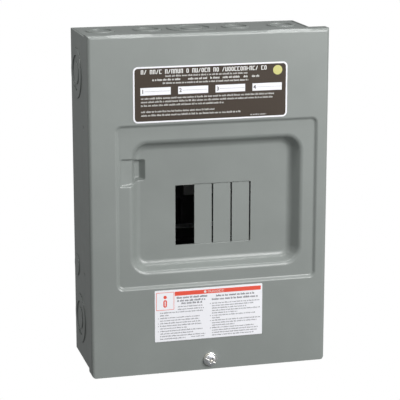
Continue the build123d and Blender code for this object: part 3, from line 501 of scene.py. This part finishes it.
def directory_print():
    """The brown label: placeholder words in white and four numbered write-in spaces."""
    origin, size = front_of("directory_label")
    right, top = size.x / 2 - BORDER, size.z / 2 - BORDER
    draw = random.Random(DIRECTORY_SEED)

    field = Print(origin, ACROSS, OUT)
    field.shape(rounded(-right, right, -top, top, FIELD_CORNER))
    field.make("directory_label_field", "cover", INKS["brown"])

    words = Print(origin, ACROSS, OUT, INK_T)
    words.heading(TEXT_LEFT, 58.4, 21.7, 4.1, DIRECTORY_WORDS, draw)
    words.line(-44.6, 36.3, 17.2, 1.25, draw)
    for x0, x1 in LIST_RUNS:
        words.line(x0, x1, 13.8, 1.5, draw, ink=0.8)
    words.line(-47.2, 37.4, 10.5, 1.25, draw, ink=0.7)
    for z, x1 in NOTES:
        words.line(TEXT_LEFT, x1, z, 1.3, draw)
    words.line(39.2, 55.2, -23.4, 1.1, draw)
    words.make("directory_label_words", "cover", INKS["white"])

    spaces = Print(origin, ACROSS, OUT, INK_T)
    rules = Print(origin, ACROSS, OUT, 2 * INK_T)
    numbers = Print(origin, ACROSS, OUT, 2 * INK_T)
    middle = SPACE_TOP - SPACE_HIGH / 2
    for k in range(SPACES):
        x0 = SPACE_LEFT + k * SPACE_PITCH
        x1 = x0 + SPACE_WIDE
        spaces.bar(x0, x1, SPACE_TOP - SPACE_HIGH, SPACE_TOP)
        rules.bar(x0 + RULE_INSET[0], x1 - RULE_INSET[1], middle - RULE_HALF, middle + RULE_HALF)
        numbers.numeral(str(k + 1), x0 + NUMERAL_IN, middle - 0.1, NUMERAL_SIZE)
    spaces.make("directory_label_spaces", "cover", MATERIALS["directory_label"])
    rules.make("directory_label_rules", "cover", INKS["grey"])
    numbers.make("directory_label_numbers", "cover", INKS["dark"])

    mark = Print(origin, ACROSS, OUT, INK_T)
    mark.disc(66.2, 19.0, 4.6)
    mark.make("directory_label_dot", "cover", INKS["yellow"])


# The safety label, in millimetres from its centre.
SAFETY_SEED = 23
BAND = (-34.6, 53.0, 19.8, 24.0)
PICTURE = (-53.2, -35.2, 6.0, 24.0)
MARK_STEM = (-46.0, -42.4, 8.6, 16.2)
BAND_MIDDLE = 21.9
HEADS = ((-32.6, -1.2, 17.4), (-32.2, -2.9, 14.3), (-28.0, -6.2, 11.6),
         (7.2, 46.6, 16.8), (3.0, 50.8, 13.4))
LEFT_LINES = (25.6, 26.5, 44.0, 9.0, 40.7, 39.5, 41.0, 42.5, 27.5, 43.5, 33.5, 46.0, 26.0)
RIGHT_LINES = (49.5, 43.2, 35.2, 49.0, 26.5, 44.5, 8.0, 49.5, 45.8, 23.5, 43.2, 47.5, 47.0, 43.0)
LEFT_BULLETS = (4, 6, 7, 9)
RIGHT_BULLETS = (0, 5, 7, 10)
COLUMNS = ((-49.4, LEFT_LINES, LEFT_BULLETS, 8.4, 2.66),      # left, lines, bullets, top, pitch
           (3.2, RIGHT_LINES, RIGHT_BULLETS, 9.4, 2.52))
INDENTED, INDENT_LEFT = 2, -31.5      # the left column's first lines stand beside the picture
SAFETY_SMALL = 0.95
BULLET_OUT, BULLET_R = 1.8, 0.4


def safety_print():
    """The white label: a plain red band, a generic information mark and placeholder lines."""
    origin, _ = front_of("safety_label")
    draw = random.Random(SAFETY_SEED)

    band = Print(origin, ACROSS, OUT)
    band.bar(*BAND)
    band.frame_of(*PICTURE, stroke=0.45, radius=0.5)
    band.disc(-44.2, 19.0, 1.7)
    band.frame_of(*MARK_STEM, stroke=1.3, radius=1.7)
    band.make("safety_label_band", "cover", INKS["signal"])

    title = Print(origin, ACROSS, OUT, INK_T)
    title.disc(-3.8, BAND_MIDDLE, 1.3, steps=24)
    title.heading(-1.2, 18.6, BAND_MIDDLE, 2.1, (6,), draw)
    title.make("safety_label_title", "cover", INKS["white"])

    heads = Print(origin, ACROSS, OUT)
    for x0, x1, z in HEADS:
        heads.line(x0, x1, z, 1.5, draw, ink=0.85)
    heads.make("safety_label_heads", "cover", INKS["grey"])

    small = Print(origin, ACROSS, OUT)
    for left, lines, bullets, top, pitch in COLUMNS:
        for k, length in enumerate(lines):
            x = INDENT_LEFT if lines is LEFT_LINES and k < INDENTED else left
            z = top - k * pitch
            small.line(x, x + length, z, SAFETY_SMALL, draw, ink=0.7)
            if k in bullets:
                small.disc(left - BULLET_OUT, z, BULLET_R, steps=12)
    small.line(-17.9, -4.5, -23.2, 0.9, draw)
    small.make("safety_label_lines", "cover", INKS["grey"])


# The wiring label, in millimetres from its centre.
WIRING_SEED = 37
WIRING_BORDER = 3             # from the label's edge to the printed outline
WIRING_TEXT = 24              # half the width of its lines
WIRING_SMALL, WIRING_PITCH = 1.2, 3.2
BUS_AT, BUS_HALF = 12, 0.4    # the diagram's upright bars
BREAKERS, BREAKER_PITCH = 4, 11
BREAKER_HALF = (7, 3.5)
WIRE_END, WIRE_HALF = 11.6, 0.3


def wiring_print():
    """The paper label inside the right wall: a plain diagram and placeholder lines."""
    low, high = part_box("wiring_label")
    origin = Vector((low.x, (low.y + high.y) / 2, (low.z + high.z) / 2))
    half_w, half_h = (high.y - low.y) / 2 / MM, (high.z - low.z) / 2 / MM
    draw = random.Random(WIRING_SEED)

    ink = Print(origin, Vector((0, 1, 0)), Vector((-1, 0, 0)))
    right, top = half_w - WIRING_BORDER, half_h - WIRING_BORDER
    ink.frame_of(-right, right, -top, top, stroke=0.5, radius=1.0)
    ink.heading(-22, 22, half_h - 9, 3.0, (6, 7), draw)
    for k in range(9):
        ink.line(-WIRING_TEXT, WIRING_TEXT - 6 * (k % 3), half_h - 16 - WIRING_PITCH * k,
                 WIRING_SMALL, draw)

    diagram_top = half_h - 50
    for x in (-BUS_AT, BUS_AT):
        ink.bar(x - BUS_HALF, x + BUS_HALF, -half_h + 30, diagram_top)
    wide, high_half = BREAKER_HALF
    for k in range(BREAKERS):
        z = diagram_top - 8 - BREAKER_PITCH * k
        ink.frame_of(-wide, wide, z - high_half, z + high_half, stroke=0.5, radius=0.6)
        wire = (-WIRE_END, -wide) if k % 2 == 0 else (wide, WIRE_END)
        ink.bar(*wire, z - WIRE_HALF, z + WIRE_HALF)

    for k in range(6):
        ink.line(-WIRING_TEXT, 22 - 9 * (k % 2), -half_h + 24 - WIRING_PITCH * k,
                 WIRING_SMALL, draw)
    ink.make("wiring_label_print", "box", INKS["grey"])


# ---- studio ------------------------------------------------------------------------------

CAMERA_AT = Vector((-0.3990, -1.5812, 0.3733))
CAMERA_LOOK = Vector((0.2477, 0.9405, -0.2327))
CAMERA_LENS, CAMERA_SENSOR = 146.2, 36.0
CAMERA_CLIP = (0.01, 100.0)
FLOOR_SIZE, FLOOR_GAP = 30.0, 0.0005
WHITE = (1.0, 1.0, 1.0, 1.0)
AMBIENT, AMBIENT_TINT = 0.185, (0.98, 1.0, 1.0, 1.0)
SOFTBOXES = (                 # name, azimuth, elevation, distance, width, height, watts
    ("key_softbox", 30.0, 22.0, 1.6, 1.0, 1.0, 26.5),
    ("overhead_strip", 10.0, 78.0, 1.1, 1.0, 0.15, 4.8),
    ("side_fill", -78.0, 42.0, 0.8, 0.3, 0.3, 1.0),
)


def studio_paper():
    """An even white glow, which the camera sees as white paper."""
    material = bpy.data.materials.new("studio_paper")
    material.use_nodes = True
    tree = material.node_tree
    tree.nodes.clear()
    out = tree.nodes.new("ShaderNodeOutputMaterial")
    glow = tree.nodes.new("ShaderNodeEmission")
    glow.inputs["Color"].default_value = WHITE
    glow.inputs["Strength"].default_value = 1.0
    tree.links.new(glow.outputs["Emission"], out.inputs["Surface"])
    return material


def floor():
    """A plain floor just under the box, which neither lights it nor takes its shadow."""
    low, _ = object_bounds()
    z = low.z - FLOOR_GAP
    half = FLOOR_SIZE / 2
    corners = [(-half, -half, z), (half, -half, z), (half, half, z), (-half, half, z)]
    data = bpy.data.meshes.new("studio_floor")
    data.from_pydata(corners, [], [(0, 1, 2, 3)])
    data.materials.append(studio_paper())
    plane = bpy.data.objects.new("studio_floor", data)
    bpy.context.scene.collection.objects.link(plane)
    plane.visible_diffuse = False
    plane.visible_glossy = False
    plane.visible_shadow = False
    plane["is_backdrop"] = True


def world():
    """White behind the object, and a dimmer even light on it."""
    scene_world = bpy.data.worlds.new("studio_world")
    scene_world.use_nodes = True
    tree = scene_world.node_tree
    tree.nodes.clear()
    out = tree.nodes.new("ShaderNodeOutputWorld")
    pick = tree.nodes.new("ShaderNodeMixShader")
    path = tree.nodes.new("ShaderNodeLightPath")
    ambient = tree.nodes.new("ShaderNodeBackground")
    white = tree.nodes.new("ShaderNodeBackground")
    ambient.inputs["Color"].default_value = AMBIENT_TINT
    ambient.inputs["Strength"].default_value = AMBIENT
    white.inputs["Color"].default_value = WHITE
    tree.links.new(path.outputs["Is Camera Ray"], pick.inputs["Fac"])
    tree.links.new(ambient.outputs["Background"], pick.inputs[1])
    tree.links.new(white.outputs["Background"], pick.inputs[2])
    tree.links.new(pick.outputs["Shader"], out.inputs["Surface"])
    bpy.context.scene.world = scene_world


def softbox(name, azimuth, elevation, distance, width, height, power):
    """An area light aimed at the object. Azimuth 0 is straight in front, 90 to the right."""
    low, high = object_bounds()
    centre = (low + high) / 2
    a, e = math.radians(azimuth), math.radians(elevation)
    toward = Vector((math.sin(a) * math.cos(e), -math.cos(a) * math.cos(e), math.sin(e)))
    data = bpy.data.lights.new(name, "AREA")
    data.shape, data.size, data.size_y = "RECTANGLE", width, height
    data.energy = power
    light = bpy.data.objects.new(name, data)
    light.location = centre + toward * distance
    light.rotation_mode = "QUATERNION"
    light.rotation_quaternion = (-toward).to_track_quat("-Z", "Y")
    bpy.context.scene.collection.objects.link(light)


def camera():
    data = bpy.data.cameras.new("studio_camera")
    data.sensor_width, data.lens = CAMERA_SENSOR, CAMERA_LENS
    data.clip_start, data.clip_end = CAMERA_CLIP
    cam = bpy.data.objects.new("studio_camera", data)
    cam.location = CAMERA_AT
    cam.rotation_mode = "QUATERNION"
    cam.rotation_quaternion = CAMERA_LOOK.to_track_quat("-Z", "Y")
    bpy.context.scene.collection.objects.link(cam)
    bpy.context.scene.camera = cam


# ---- the scene ---------------------------------------------------------------------------


def finish_nodes(frame):
    """Every CAD node takes the finish of the record's slot for it."""
    parts = frame["record"]["subparts"]
    slots = {part["node"]: part["material_slot"] for part in parts if "material_slot" in part}
    for name, node in frame["nodes"].items():
        node.data.materials.clear()
        node.data.materials.append(MATERIALS[slots[name]])


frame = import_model()
finish_nodes(frame)
directory_print()
safety_print()
wiring_print()
world()
floor()
for box in SOFTBOXES:
    softbox(*box)
camera()
bpy.context.scene.view_settings.view_transform = "Standard"
